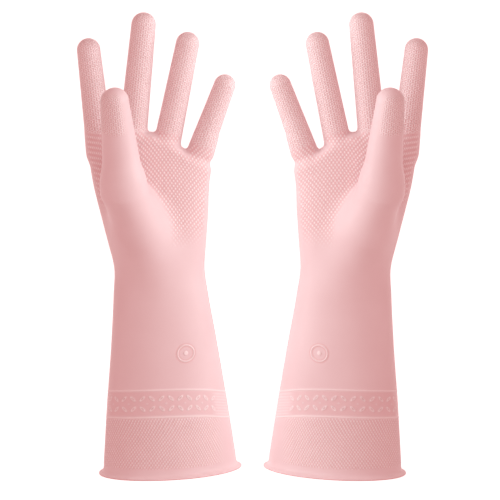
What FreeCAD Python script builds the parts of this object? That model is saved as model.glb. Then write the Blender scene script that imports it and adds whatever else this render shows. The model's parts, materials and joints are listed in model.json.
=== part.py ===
import FreeCAD, Part
import math
import os

# A pair of long-cuff household rubber gloves, standing on their cuff rims with
# the fingers up and the palms towards -Y.
# Each glove is one dip-moulded latex film. It is divided into zones where the
# film bends, and a hinge joins each zone to the next one.
# Millimetres and degrees. +Z is up, +X runs from the left glove to the right one,
# and the origin is on the floor under the middle of the pair.
# Everything is drawn for the left glove about the centre of its cuff rim, with
# +x towards the little finger, and the right glove is its mirror image.

# ---- Film and seams
wall = 0.6              # thickness of the rubber film
seam_gap = 0.6          # space between two zones that a hinge joins
hinge_clearance = 0.2   # distance of a hinge line outside the film

# ---- The pair
glove_spacing = 132.0   # between the centres of the two cuff rims

# ---- Cuff: an oval sleeve that narrows from the rim to the wrist
rim_height = 8.0
rim_flare = 3.4         # how far the lip stands out from the sleeve
rim_bead = 1.6          # thickness of the lip
rim_foot = 0.22         # the lip keeps its full flare up to this share of its height
rim_neck = 0.55         # and has this share of the flare left a little further up
rim_neck_flare = 0.35
cuff_width = 107.6      # across the sleeve, just above the lip
cuff_depth = 74.0
cuff_turn = 28.0        # the cuff's oval is turned this far from the palm's
cuff_taper_power = 1.05  # 1 would be a straight cone
wrist_height = 165.5
wrist_width = 72.8
wrist_depth = 52.0
wrist_offset = -8.4     # the wrist's centre stands this far to the thumb's side

# ---- Hand: from the wrist to the roots of the fingers
palm_height = 111.8     # from the wrist to the web between the index and middle fingers
palm_width = 104.0
palm_depth = 26.0       # at the roots of the fingers
palm_offset = -15.0     # the palm's centre stands this far to the thumb's side
heel_rise = 0.45        # the heel of the hand, as a share of the palm's height
heel_spread = 0.29      # how much of the change from wrist to palm is reached there,
heel_thinning = 0.19    # in width, in depth and in sideways offset
heel_shift = 0.75
upper_rise = 0.6        # the thumb's level, as a share of the way from heel to web
upper_spread = 0.965
upper_thinning = 0.36
web_start = 0.385       # share of the palm's half width where its top begins to fall
web_slope = 27.0        # towards the little finger
root_depth = 20.0       # how far a finger's tube runs down inside the palm

# ---- Fingers: place across the palm as a share of its half width, rise of the root
# seam over the web there, lean to the little finger's side, length from the seam to
# the tip, diameters at the root and near the tip
finger_sizes = {
    "index": {"place": -0.825, "rise": 2.5, "lean": -6.3, "length": 71.8, "root": 21.4, "tip": 18.8},
    "middle": {"place": -0.267, "rise": 4.1, "lean": 5.7, "length": 91.0, "root": 22.4, "tip": 19.6},
    "ring": {"place": 0.294, "rise": 1.7, "lean": 11.6, "length": 78.6, "root": 21.2, "tip": 18.8},
    "little": {"place": 0.806, "rise": 1.9, "lean": 20.4, "length": 57.0, "root": 20.0, "tip": 17.2},
}
finger_middle = 0.5     # the middle hinge, as a share of the finger's length

# ---- Thumb: it stands in front of the palm, and leans forwards and outwards
thumb_rise = 78.0       # of its root over the wrist
thumb_side = -22.0      # of its root from the palm's centre
thumb_space = 5.9       # between the palm and the back of the thumb's root
thumb_length = 79.0
thumb_root = 33.0
thumb_middle = 26.5     # diameter at the middle hinge
thumb_tip = 20.0
thumb_middle_share = 0.52
thumb_lean_out = 5.1
thumb_lean_forward = 14.5
# the ball of the thumb starts inside the wrist and swells on its way to the thumb
ball_rise = 12.0
ball_side = -4.6        # of its start from the wrist's centre
ball_margin = 6.0       # it is this much smaller than half the wrist's depth
ball_clear = 1.0        # and stays this far inside the wrist
ball_swell = 2.5
ball_middle = 0.45      # places of its two middle rings on the way to the thumb
ball_upper = 0.78
ball_upper_size = 0.625  # of the upper ring, from the thumb's radius to the full swell
ball_middle_bow = FreeCAD.Vector(-3.5, -2.5, 0)   # the rings bow outwards and forwards
ball_upper_bow = FreeCAD.Vector(-2.0, -1.5, 0)

UP = FreeCAD.Vector(0, 0, 1)
ORIGIN = FreeCAD.Vector(0, 0, 0)


def oval(x, y, z, half_x, half_y, turn=0.0):
    """A level oval wire, half_x wide and half_y deep, turned about the vertical."""
    # the wire starts on its +x side whatever its turn, so that a loft doesn't twist
    first = -math.radians(turn)
    ellipse = Part.Ellipse(ORIGIN, half_x, half_y)
    wire = Part.Wire(Part.Arc(ellipse, first, first + 2 * math.pi).toShape())
    wire.rotate(ORIGIN, UP, turn)
    wire.translate(FreeCAD.Vector(x, y, z))
    return wire


def ring_about(centre, direction, radius):
    """A circle wire that is square to a direction."""
    return Part.Wire(Part.Circle(centre, direction, radius).toShape())


def hollow(outer_wires, inner_wires):
    """A sleeve between two sets of wires, open at both ends."""
    outer = Part.makeLoft(outer_wires, True)
    inner = Part.makeLoft(inner_wires, True)
    return outer.cut(inner)


# ---- Cuff

def cuff_oval(z, inset):
    """The sleeve's section at height z, inside or outside the film's outer face by inset."""
    share = z / wrist_height
    spread = (1.0 - share) ** cuff_taper_power
    half_x = (wrist_width + (cuff_width - wrist_width) * spread) / 2
    half_y = (wrist_depth + (cuff_depth - wrist_depth) * spread) / 2
    turn = cuff_turn * spread
    # the turned oval is as wide as stated, seen from the palm's side
    sine = math.sin(math.radians(turn))
    cosine = math.cos(math.radians(turn))
    long_half = math.sqrt(half_x**2 - (half_y * sine) ** 2) / cosine
    return oval(wrist_offset * share, 0, z, long_half - inset, half_y - inset, turn)


def cuff_rim():
    """The flared lip that the glove stands on."""
    stations = [
        (0.0, rim_flare),
        (rim_height * rim_foot, rim_flare),
        (rim_height * rim_neck, rim_flare * rim_neck_flare),
        (rim_height, 0.0),
    ]
    outer = []
    inner = []
    for z, flare in stations:
        thickness = wall + (rim_bead - wall) * flare / rim_flare
        outer.append(cuff_oval(z, -flare))
        inner.append(cuff_oval(z, thickness - flare))
    return hollow(outer, inner)


def gauntlet():
    """The sleeve from the lip to the wrist."""
    top = wrist_height - seam_gap / 2
    count = 6
    heights = [rim_height + (top - rim_height) * i / count for i in range(count + 1)]
    outer = [cuff_oval(z, 0) for z in heights]
    inner = [cuff_oval(z, wall) for z in heights]
    return hollow(outer, inner)


# ---- Fingers and thumb, as shapes turned about their own line

def tube_axis(lean_side, lean_forward):
    """The unit direction of a finger that leans to +x and towards the palm's side."""
    side = math.radians(lean_side)
    forward = math.radians(lean_forward)
    return FreeCAD.Vector(
        math.sin(side) * math.cos(forward),
        -math.sin(forward),
        math.cos(side) * math.cos(forward),
    )


def stand_on(shape, centre, direction):
    """Moves a shape drawn up the Z axis onto a finger's line."""
    shape.Placement = FreeCAD.Placement(centre, FreeCAD.Rotation(UP, direction))
    return shape


def turned(edges):
    face = Part.Face(Part.Wire(edges))
    return face.revolve(ORIGIN, UP, 360)


def at(radius, height):
    return FreeCAD.Vector(radius, 0, height)


def tube_zone(low, low_radius, high, high_radius):
    """An open tube of film between two heights, given by its outer radii."""
    corners = [
        at(low_radius, low),
        at(high_radius, high),
        at(high_radius - wall, high),
        at(low_radius - wall, low),
        at(low_radius, low),
    ]
    return turned([Part.LineSegment(a, b).toShape() for a, b in zip(corners, corners[1:])])


def tip_zone(low, low_radius, length, tip_radius):
    """The closed end: a tube that ends in a round tip."""
    bend = length - tip_radius
    inner_tip = tip_radius - wall
    slant = math.sqrt(0.5)
    outer_arc = Part.Arc(
        at(tip_radius, bend),
        at(tip_radius * slant, bend + tip_radius * slant),
        at(0, length),
    )
    inner_arc = Part.Arc(
        at(0, length - wall),
        at(inner_tip * slant, bend + inner_tip * slant),
        at(inner_tip, bend),
    )
    return turned([
        Part.LineSegment(at(low_radius, low), at(tip_radius, bend)).toShape(),
        outer_arc.toShape(),
        Part.LineSegment(at(0, length), at(0, length - wall)).toShape(),
        inner_arc.toShape(),
        Part.LineSegment(at(inner_tip, bend), at(low_radius - wall, low)).toShape(),
        Part.LineSegment(at(low_radius - wall, low), at(low_radius, low)).toShape(),
    ])


def plug(low, high, radius):
    """A solid cylinder up the Z axis."""
    return Part.makeCylinder(radius, high - low, at(0, low))


def middle_radius(size):
    """A finger's outer radius at its middle hinge, on the straight taper to its tip."""
    bend = size["length"] - size["tip"] / 2
    share = size["length"] * finger_middle / bend
    return (size["root"] + (size["tip"] - size["root"]) * share) / 2


def finger_base(size):
    middle = size["length"] * finger_middle
    return tube_zone(seam_gap / 2, size["root"] / 2, middle - seam_gap / 2, middle_radius(size))


def finger_tip(size):
    middle = size["length"] * finger_middle
    return tip_zone(middle + seam_gap / 2, middle_radius(size), size["length"], size["tip"] / 2)


# ---- Places of the hand, measured from the wrist and across the palm

PALM_TOP = wrist_height + palm_height
WEB_START = palm_offset + web_start * palm_width / 2
UPPER_DEPTH = wrist_depth / 2 + (palm_depth - wrist_depth) * upper_thinning
THUMB_ROOT = FreeCAD.Vector(
    palm_offset + thumb_side,
    -UPPER_DEPTH - thumb_space - thumb_root / 2,
    wrist_height + thumb_rise,
)


def finger_root(size):
    """The centre of a finger's root seam, over the top of the palm."""
    x = palm_offset + size["place"] * palm_width / 2
    fall = max(0.0, x - WEB_START) * math.tan(math.radians(web_slope))
    return FreeCAD.Vector(x, 0, PALM_TOP - fall + size["rise"])


THUMB_AXIS = tube_axis(-thumb_lean_out, thumb_lean_forward)


def thumb_base():
    middle = thumb_length * thumb_middle_share
    return tube_zone(seam_gap / 2, thumb_root / 2, middle - seam_gap / 2, thumb_middle / 2)


def thumb_end():
    middle = thumb_length * thumb_middle_share
    return tip_zone(middle + seam_gap / 2, thumb_middle / 2, thumb_length, thumb_tip / 2)


# ---- Hand

def palm_block(inset):
    """The palm and back of the hand as a solid, drawn in by inset."""
    bottom = wrist_height + seam_gap / 2
    top = PALM_TOP - inset
    heel = bottom + (PALM_TOP - bottom) * heel_rise
    upper = heel + (PALM_TOP - heel) * upper_rise
    knuckle_half = palm_width / 2
    heel_half = wrist_width / 2 + (palm_width - wrist_width) * heel_spread
    upper_half = knuckle_half * upper_spread
    heel_depth = wrist_depth / 2 + (palm_depth - wrist_depth) * heel_thinning
    heel_offset = wrist_offset + (palm_offset - wrist_offset) * heel_shift
    loft = Part.makeLoft(
        [
            oval(wrist_offset, 0, bottom, wrist_width / 2 - inset, wrist_depth / 2 - inset),
            oval(heel_offset, 0, heel, heel_half - inset, heel_depth - inset),
            oval(palm_offset, 0, upper, upper_half - inset, UPPER_DEPTH - inset),
            oval(palm_offset, 0, top, knuckle_half - inset, palm_depth / 2 - inset),
        ],
        True,
    )
    # the top of the palm falls away towards the little finger
    corner = Part.makeBox(palm_width, 4 * palm_depth, palm_depth * 2)
    corner.translate(FreeCAD.Vector(0, -2 * palm_depth, 0))
    corner.rotate(ORIGIN, FreeCAD.Vector(0, 1, 0), web_slope)
    corner.translate(FreeCAD.Vector(WEB_START, 0, PALM_TOP - inset))
    return loft.cut(corner)


def thumb_ball(inset):
    """The ball of the thumb, from inside the wrist to the root of the thumb."""
    start_radius = wrist_depth / 2 - ball_margin
    full_radius = start_radius + ball_swell
    start_y = start_radius + ball_clear - wrist_depth / 2
    start = FreeCAD.Vector(wrist_offset + ball_side, start_y, wrist_height + ball_rise)
    end = THUMB_ROOT - THUMB_AXIS * (seam_gap / 2)
    across = end - start
    middle = start + across * ball_middle + ball_middle_bow
    upper = start + across * ball_upper + ball_upper_bow
    upper_way = across + THUMB_AXIS * across.Length
    upper_radius = thumb_root / 2 + (full_radius - thumb_root / 2) * ball_upper_size
    loft = Part.makeLoft(
        [
            ring_about(start, UP, start_radius - inset),
            ring_about(middle, across, full_radius - inset),
            ring_about(upper, upper_way, upper_radius - inset),
            ring_about(end, THUMB_AXIS, thumb_root / 2 - inset),
        ],
        True,
    )
    return loft


def hand():
    """The palm, the back of the hand and the ball of the thumb, open at every finger."""
    outer = palm_block(0)
    inner = palm_block(wall)
    outer_parts = [thumb_ball(0)]
    inner_parts = [thumb_ball(wall)]
    opened = []
    for size in finger_sizes.values():
        axis = tube_axis(size["lean"], 0)
        radius = size["root"] / 2
        rim = -seam_gap / 2
        outer_parts.append(stand_on(plug(-root_depth, rim, radius), finger_root(size), axis))
        bore = plug(-root_depth + wall, 1, radius - wall)
        opened.append(stand_on(bore, finger_root(size), axis))
    shell = outer.fuse(outer_parts).cut(inner.fuse(inner_parts))
    return shell.cut(opened[0].fuse(opened[1:]))


# ---- The pair

def left_glove():
    zones = {"cuff_rim": cuff_rim(), "gauntlet": gauntlet(), "hand": hand()}
    zones["thumb_base"] = stand_on(thumb_base(), THUMB_ROOT, THUMB_AXIS)
    zones["thumb_tip"] = stand_on(thumb_end(), THUMB_ROOT, THUMB_AXIS)
    for name, size in finger_sizes.items():
        axis = tube_axis(size["lean"], 0)
        zones[name + "_base"] = stand_on(finger_base(size), finger_root(size), axis)
        zones[name + "_tip"] = stand_on(finger_tip(size), finger_root(size), axis)
    return zones


def place(shape, side):
    """The left glove's zone in its place, or its mirror image on the right."""
    placed = shape.copy()
    placed.translate(TO_PAIR)
    if side == "right":
        placed = placed.mirror(ORIGIN, FreeCAD.Vector(1, 0, 0))
    return placed


def hinge_line(name, centre, outwards, radius, axis):
    """Prints a hinge of the left glove in the pair's frame."""
    point = centre + outwards * (radius + hinge_clearance) + TO_PAIR
    print("hinge", name, *[round(v, 4) for v in (*point, *axis)])


os.makedirs("parts", exist_ok=True)
LEFT = left_glove()
# the thumbs stand forward, so the middle of the pair's box is in front of the cuffs' centres
whole = Part.makeCompound(list(LEFT.values())).optimalBoundingBox()
TO_PAIR = FreeCAD.Vector(-glove_spacing / 2, -whole.Center.y, 0)
for zone, shape in LEFT.items():
    for side in ("left", "right"):
        solid = place(shape, side)
        print(side, zone, solid.isValid(), len(solid.Solids), round(solid.Volume))
        solid.exportStep("parts/" + side + "_" + zone + ".step")

PALM_SIDE = FreeCAD.Vector(0, -1, 0)
hinge_line(
    "wrist",
    FreeCAD.Vector(wrist_offset, 0, wrist_height),
    PALM_SIDE,
    wrist_depth / 2,
    FreeCAD.Vector(1, 0, 0),
)
for name, size in finger_sizes.items():
    along = tube_axis(size["lean"], 0)
    bend = along.cross(PALM_SIDE)
    middle = finger_root(size) + along * (size["length"] * finger_middle)
    hinge_line(name + "_knuckle", finger_root(size), PALM_SIDE, size["root"] / 2, bend)
    hinge_line(name + "_middle", middle, PALM_SIDE, middle_radius(size), bend)

# the thumb's root closes towards the palm, and its tip towards the index finger's side
thumb_across = (FreeCAD.Vector(1, 0, 0) - THUMB_AXIS * THUMB_AXIS.x).normalize()
thumb_back = THUMB_AXIS.cross(thumb_across)
thumb_bend = THUMB_ROOT + THUMB_AXIS * (thumb_length * thumb_middle_share)
hinge_line("thumb_root", THUMB_ROOT, thumb_back, thumb_root / 2, thumb_across)
hinge_line("thumb_middle", thumb_bend, -thumb_across, thumb_middle / 2, thumb_back)
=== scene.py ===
# %% [markdown]
# # A pair of long-cuff rubber gloves
# The gloves are made by dipping a porcelain hand into liquid latex. What comes off the
# former is one film, half a millimetre thick, with every ring, grain and line of the
# former's surface moulded into it. The film is modelled in zones that meet along its
# bending lines, at the wrist, the fingers and the thumb.

# %% Load the imported frame
import bpy
import json
import math
import numpy as np
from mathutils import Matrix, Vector


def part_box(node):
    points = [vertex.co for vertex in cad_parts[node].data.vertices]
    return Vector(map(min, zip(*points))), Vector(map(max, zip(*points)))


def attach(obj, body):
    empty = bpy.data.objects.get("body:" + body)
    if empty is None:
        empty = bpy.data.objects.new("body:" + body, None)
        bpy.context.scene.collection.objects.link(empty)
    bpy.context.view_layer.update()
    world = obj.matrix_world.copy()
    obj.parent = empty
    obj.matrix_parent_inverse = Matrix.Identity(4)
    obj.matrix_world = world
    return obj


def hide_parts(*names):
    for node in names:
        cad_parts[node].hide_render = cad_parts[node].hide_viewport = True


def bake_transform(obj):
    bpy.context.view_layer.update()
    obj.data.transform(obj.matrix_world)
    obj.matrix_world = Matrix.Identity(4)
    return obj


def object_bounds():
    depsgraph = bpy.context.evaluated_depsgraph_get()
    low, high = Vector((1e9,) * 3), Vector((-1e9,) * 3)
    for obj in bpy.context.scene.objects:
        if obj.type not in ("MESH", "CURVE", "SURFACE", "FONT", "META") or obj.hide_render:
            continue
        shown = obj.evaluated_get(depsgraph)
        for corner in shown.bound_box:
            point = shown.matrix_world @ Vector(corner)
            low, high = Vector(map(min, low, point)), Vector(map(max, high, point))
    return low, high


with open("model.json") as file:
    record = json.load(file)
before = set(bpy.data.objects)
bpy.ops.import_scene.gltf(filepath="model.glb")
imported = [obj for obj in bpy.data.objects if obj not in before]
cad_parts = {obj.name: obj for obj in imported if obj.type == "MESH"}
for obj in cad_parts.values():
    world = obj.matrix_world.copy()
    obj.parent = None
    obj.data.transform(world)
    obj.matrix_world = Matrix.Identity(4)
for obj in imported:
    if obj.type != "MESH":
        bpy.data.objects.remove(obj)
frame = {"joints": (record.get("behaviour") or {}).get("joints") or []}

MM = 0.001
CAD_BOX = [list(corner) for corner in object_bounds()]
JOINTS = {joint["name"]: joint for joint in frame["joints"]}
print("frame size in mm:", [round((b - a) / MM, 1) for a, b in zip(*CAD_BOX)])

# %% [markdown]
# ## Camera
# The pair is seen from the palm side, a little from above, so that the cuff rims show
# as shallow curves. A long lens keeps the two gloves from leaning apart.

# %% Camera
CAMERA_DISTANCE = 6.0
CAMERA_RISE_DEG = 10.0
SHOWN_WIDTH = 0.400      # metres that the picture is wide, at the gloves
AIM_ASIDE = -2.0 * MM    # the aim's place beside and below the pair's middle
AIM_LOWER = 4.5 * MM


def aim(thing, target):
    """Turns a camera or light so that it looks at a point."""
    direction = Vector(target) - thing.location
    thing.rotation_euler = direction.to_track_quat("-Z", "Y").to_euler()


lowest, highest = CAD_BOX
middle = Vector([(a + b) / 2 for a, b in zip(lowest, highest)])
target = Vector((AIM_ASIDE, 0.0, middle.z - AIM_LOWER))
rise = math.radians(CAMERA_RISE_DEG)
camera = bpy.data.objects.new("camera", bpy.data.cameras.new("camera"))
bpy.context.collection.objects.link(camera)
camera.location = target + Vector((0, -math.cos(rise), math.sin(rise))) * CAMERA_DISTANCE
camera.data.sensor_width = 36
camera.data.lens = camera.data.sensor_width * CAMERA_DISTANCE / SHOWN_WIDTH
aim(camera, target)
bpy.context.scene.camera = camera
bpy.context.scene.view_settings.view_transform = "Standard"
print("lens in mm:", round(camera.data.lens, 1))

# %% [markdown]
# ## Where the fingers are
# Each finger is a tapering tube with a round tip. Its hinges lie just outside the film
# on the palm's side, so a hinge's place also gives the tube's centre and radius there.
# Only the left glove is worked out, because the right one is its mirror image.

# %% Lines of the fingers and the thumb
HINGE_CLEARANCE = 0.2 * MM
WRIST_HALF_DEPTH = 26.0 * MM
# the thumb's hinges stand outside its film, so its radii are named here
THUMB_ROOT_RADIUS = 16.5 * MM
THUMB_MIDDLE_RADIUS = 13.25 * MM
FINGERS = ["index", "middle", "ring", "little"]


def point(joint, key="pos_m"):
    return np.array(JOINTS[joint][key], float)


def unit(vector):
    return vector / np.linalg.norm(vector)


WRIST = point("left_wrist")
WRIST_Z = WRIST[2]
CENTRE_Y = WRIST[1] + WRIST_HALF_DEPTH + HINGE_CLEARANCE


def tube(root, root_radius, bend, bend_radius, tip_top):
    """A finger's line: its root, direction, length to the centre of the round tip, and radii."""
    along = unit(bend - root)
    reach = np.linalg.norm(bend - root)
    taper = (bend_radius - root_radius) / reach
    # the round tip's highest point is its centre's height plus its radius
    length = (tip_top - root[2] - root_radius) / (along[2] + taper)
    return {
        "root": root, "along": along, "middle": reach, "end": length,
        "root_radius": root_radius, "taper": taper,
    }


def finger_tube(name):
    knuckle = point(f"left_{name}_knuckle")
    bend = point(f"left_{name}_mid")
    root_radius = CENTRE_Y - knuckle[1] - HINGE_CLEARANCE
    bend_radius = CENTRE_Y - bend[1] - HINGE_CLEARANCE
    knuckle[1] = bend[1] = CENTRE_Y
    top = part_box(f"left_{name}_tip")[1][2]
    return tube(knuckle, root_radius, bend, bend_radius, top)


def thumb_tube():
    across = unit(point("left_thumb_root", "axis"))
    back = unit(point("left_thumb_mid", "axis"))
    root = point("left_thumb_root") - back * (THUMB_ROOT_RADIUS + HINGE_CLEARANCE)
    bend = point("left_thumb_mid") + across * (THUMB_MIDDLE_RADIUS + HINGE_CLEARANCE)
    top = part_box("left_thumb_tip")[1][2]
    return tube(root, THUMB_ROOT_RADIUS, bend, THUMB_MIDDLE_RADIUS, top)


TUBES = {name: finger_tube(name) for name in FINGERS}
TUBES["thumb"] = thumb_tube()
for name, line in TUBES.items():
    print(name, "length in mm:", round(line["end"] / MM, 1), "taper:", round(line["taper"], 3))

# %% [markdown]
# ## The sleeve
# Below the fingers the glove is one sleeve: an oval that narrows from the rim to the
# wrist and spreads again into the palm. It could be lofted from wires, but a rule that
# gives the oval at any height also serves to settle a mesh of any fineness onto it.

# %% The sleeve's oval at every height
RIM_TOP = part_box("left_cuff_rim")[1][2]
CUFF_CENTRE = (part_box("left_cuff_rim")[0][0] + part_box("left_cuff_rim")[1][0]) / 2
CUFF_TURN = math.radians(28)
DRAWN_WRIST = 168.0 * MM     # the wrist's height in the stations, before they are fitted
# height, centre, half width and half depth in mm, about the cuff's own centre
STATIONS = MM * np.array([
    (0.0, 0.0, 53.8, 37.0),
    (56.0, -2.6, 48.2, 33.6),
    (108.0, -5.0, 42.2, 30.0),
    (146.0, -7.4, 38.0, 27.4),
    (168.0, -8.6, 36.3, 26.0),
    (187.0, -10.2, 39.0, 25.2),
    (213.0, -12.6, 43.2, 23.0),
    (239.0, -15.0, 46.8, 20.0),
    (259.0, -14.8, 49.8, 17.0),
    (273.0, -14.2, 51.2, 14.4),
    (286.0, -14.0, 51.2, 12.6),
])
STATIONS[:, 0] *= WRIST_Z / DRAWN_WRIST
print("stations up to, in mm:", round(STATIONS[-1, 0] / MM, 1))


def smooth_step(value, low, high):
    share = np.clip((value - low) / (high - low), 0, 1)
    return share * share * (3 - 2 * share)


def ridge(distance, width, height):
    """A rounded ridge, highest where the distance is 0."""
    return height * np.exp(-((distance / width) ** 2))


def along_stations(z, column):
    """A station's value at height z, on a smooth curve through the stations."""
    heights = STATIONS[:, 0]
    values = STATIONS[:, column]
    slopes = np.gradient(values, heights)
    z = np.clip(z, heights[0], heights[-1])
    i = np.clip(np.searchsorted(heights, z) - 1, 0, len(heights) - 2)
    gap = heights[i + 1] - heights[i]
    t = (z - heights[i]) / gap
    return (
        (1 + 2 * t) * (1 - t) ** 2 * values[i]
        + t * (1 - t) ** 2 * gap * slopes[i]
        + t**2 * (3 - 2 * t) * values[i + 1]
        + t**2 * (t - 1) * gap * slopes[i + 1]
    )


def sleeve_gap(p):
    """Distance of points from the sleeve, negative inside it."""
    z = p[:, 2]
    half_x = along_stations(z, 2)
    half_y = along_stations(z, 3)
    turn = CUFF_TURN * np.clip(1 - z / WRIST_Z, 0, 1)
    sine, cosine = np.sin(turn), np.cos(turn)
    long_half = np.sqrt(half_x**2 - (half_y * sine) ** 2) / cosine
    x = p[:, 0] - CUFF_CENTRE - along_stations(z, 1)
    y = p[:, 1] - CENTRE_Y
    u = (x * cosine + y * sine) / long_half
    v = (y * cosine - x * sine) / half_y
    # the palm's section is a little squarer than an ellipse
    power = 2 + 0.5 * smooth_step(z, WRIST_Z, WRIST_Z * 1.5)
    total = np.abs(u) ** power + np.abs(v) ** power + 1e-12
    level = total ** (1 / power)
    slope_u = np.abs(u) ** (power - 1) / long_half
    slope_v = np.abs(v) ** (power - 1) / half_y
    slope = np.sqrt(slope_u**2 + slope_v**2) * total ** (1 / power - 1)
    return (level - 1) / np.maximum(slope, 1e-6)


# %% [markdown]
# ## Fingers, thumb and webs
# A finger is a round cone. Where two shapes meet, latex never leaves a sharp corner, so
# they are joined by a smooth minimum, which fills each crotch with a round web. The
# top of the palm falls towards the little finger.

# %% The whole outer face as one rule
WEB = 5.0 * MM           # how far a web rounds off a crotch between two fingers
BALL_WEB = 13.0 * MM     # and where the thumb grows out of the palm
THUMB_CREASE = 3.5 * MM
WEB_TOP = TUBES["index"]["root"][2] - 5.0 * MM
# how far right of the cuff's centre, and how far above WEB_TOP, in mm
PALM_TOP = [(-70, 0.5), (-30, 1.0), (-13, -0.5), (0, -6), (13, -15), (28, -24), (45, -34)]


def join(a, b, width):
    """A smooth minimum: two shapes joined with a rounded corner."""
    h = np.clip(0.5 + 0.5 * (b - a) / width, 0, 1)
    return b * (1 - h) + a * h - width * h * (1 - h)


def cone_gap(p, a, radius_a, b, radius_b):
    """Distance from a round cone between two points."""
    line = b - a
    length = np.linalg.norm(line)
    line = line / length
    q = p - a
    s = q @ line
    r = np.linalg.norm(q - s[:, None] * line, axis=1)
    slant = (radius_a - radius_b) / length
    s = np.clip(s + r * slant, 0, length)
    nearest = s[:, None] * line
    return np.linalg.norm(q - nearest, axis=1) - (radius_a + (radius_b - radius_a) * s / length)


def tube_gap(p, line, start):
    """Distance from a finger that starts at a height along its line."""
    a = line["root"] + line["along"] * start
    b = line["root"] + line["along"] * line["end"]
    radius_a = line["root_radius"] + line["taper"] * start
    radius_b = line["root_radius"] + line["taper"] * line["end"]
    return cone_gap(p, a, radius_a, b, radius_b)


BALL = [
    (np.array((CUFF_CENTRE - 11 * MM, CENTRE_Y - 4 * MM, WRIST_Z - 2 * MM)), 20.5 * MM),
    (np.array((CUFF_CENTRE - 24 * MM, CENTRE_Y - 19 * MM, WRIST_Z + 36 * MM)), 21.5 * MM),
    (TUBES["thumb"]["root"] - TUBES["thumb"]["along"] * 9 * MM, 17.8 * MM),
    (TUBES["thumb"]["root"], THUMB_ROOT_RADIUS),
]


def thumb_gap(p):
    """Distance from the thumb and its ball."""
    gap = tube_gap(p, TUBES["thumb"], 0)
    for (a, radius_a), (b, radius_b) in zip(BALL, BALL[1:]):
        gap = join(gap, cone_gap(p, a, radius_a, b, radius_b), 6 * MM)
    return gap


def palm_gap(p):
    """The sleeve, ended at the top of the palm."""
    x = (p[:, 0] - CUFF_CENTRE) / MM
    across, rises = np.array(PALM_TOP).T
    top = WEB_TOP + np.interp(x, across, rises) * MM
    sleeve = sleeve_gap(p)
    return -join(-sleeve, -(p[:, 2] - top) * 0.9, 6 * MM)


def fingers_gap(p):
    """The four fingers, joined by round webs."""
    gap = None
    for name in FINGERS:
        one = tube_gap(p, TUBES[name], -20 * MM)
        gap = one if gap is None else join(gap, one, WEB)
    # the film stands a little full where the little finger meets the edge of the hand
    little = TUBES["little"]
    outwards = np.array((2.6 * MM, 0, 0))
    low = little["root"] - little["along"] * 9 * MM + outwards
    high = little["root"] + little["along"] * 3 * MM + outwards * 0.4
    return join(gap, cone_gap(p, low, 9.4 * MM, high, 9.6 * MM), 2 * MM)


def skin_gap(p):
    """Distance of points from the glove's outer face, negative inside it."""
    hand = join(palm_gap(p), fingers_gap(p), WEB)
    thumb = thumb_gap(p)
    web = THUMB_CREASE + (BALL_WEB - THUMB_CREASE) * smooth_step(
        TUBES["thumb"]["root"][2] + 6 * MM - p[:, 2], 0, 30 * MM)
    return join(hand, thumb, web)


print("palm's top beside the index, in mm:", round(WEB_TOP / MM, 1))

# %% [markdown]
# ## Mesh helpers
# A piece starts as a primitive, is roughly shaped, and then each of its points is
# settled onto the outer face, as a wet film settles on its former.

# %% Mesh helpers
def start():
    """Leaves edit mode and deselects everything."""
    if bpy.context.object and bpy.context.object.mode != "OBJECT":
        bpy.ops.object.mode_set(mode="OBJECT")
    bpy.ops.object.select_all(action="DESELECT")


def get_points(piece):
    flat = np.empty(len(piece.data.vertices) * 3)
    piece.data.vertices.foreach_get("co", flat)
    return flat.reshape(-1, 3)


def set_points(piece, points):
    piece.data.vertices.foreach_set("co", np.ascontiguousarray(points).ravel())
    piece.data.update()


def get_normals(piece):
    flat = np.empty(len(piece.data.vertices) * 3)
    piece.data.vertices.foreach_get("normal", flat)
    return flat.reshape(-1, 3)


def store_painted_highlight_and_shade(piece, values):
    """Keeps for each point how much painted highlight (above 0) or painted shade (below 0) the material
    lays on there.
    """
    mesh = piece.data
    attribute = mesh.attributes.get("painted_highlight_and_shade") or mesh.attributes.new("painted_highlight_and_shade", "FLOAT", "POINT")
    attribute.data.foreach_set("value", values)


def settle(points, rounds=6):
    """Moves points straight onto the outer face."""
    step = 0.1 * MM
    for _ in range(rounds):
        gap = skin_gap(points)
        slope = np.stack([
            skin_gap(points + step * axis) - skin_gap(points - step * axis)
            for axis in np.eye(3)
        ], axis=1)
        slope /= np.linalg.norm(slope, axis=1, keepdims=True) + 1e-12
        points = points - slope * gap[:, None]
    return points


def settle_along(centres, rays, reach, rounds=14):
    """Distances from centres, along rays, at which the outer face is met."""
    for _ in range(rounds):
        reach = reach - skin_gap(centres + rays * reach[:, None])
    return reach


def apply(piece, modifier):
    bpy.context.view_layer.objects.active = piece
    bpy.ops.object.modifier_apply(modifier=modifier.name)


# %% [markdown]
# ## The film's wall
# A dipped film is as thick everywhere as the latex that clung to the former. It could be
# modelled as two faces, but Solidify gives a finished outer face its thickness inwards.
# Shaded smooth all over, its cut ends would look swollen, so their edges stay crisp.

# %% Wall and crisp edges
WALL = 0.5 * MM


def corner_table(mesh):
    """The vertex and edge at each face corner, and each face's first corner and their count."""
    vertices = np.empty(len(mesh.loops), int)
    mesh.loops.foreach_get("vertex_index", vertices)
    edges = np.empty(len(mesh.loops), int)
    mesh.loops.foreach_get("edge_index", edges)
    starts = np.empty(len(mesh.polygons), int)
    mesh.polygons.foreach_get("loop_start", starts)
    totals = np.diff(np.append(starts, len(vertices)))
    return vertices, edges, starts, totals


def shade_crisp(mesh, crisp_edges):
    """Shades a piece smooth, but crisp along the given edges."""
    mesh.polygons.foreach_set("use_smooth", np.ones(len(mesh.polygons), bool))
    sharp = np.zeros(len(mesh.edges), bool)
    sharp[crisp_edges] = True
    mesh.attributes.new("sharp_edge", "BOOLEAN", "EDGE").data.foreach_set("value", sharp)


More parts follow.
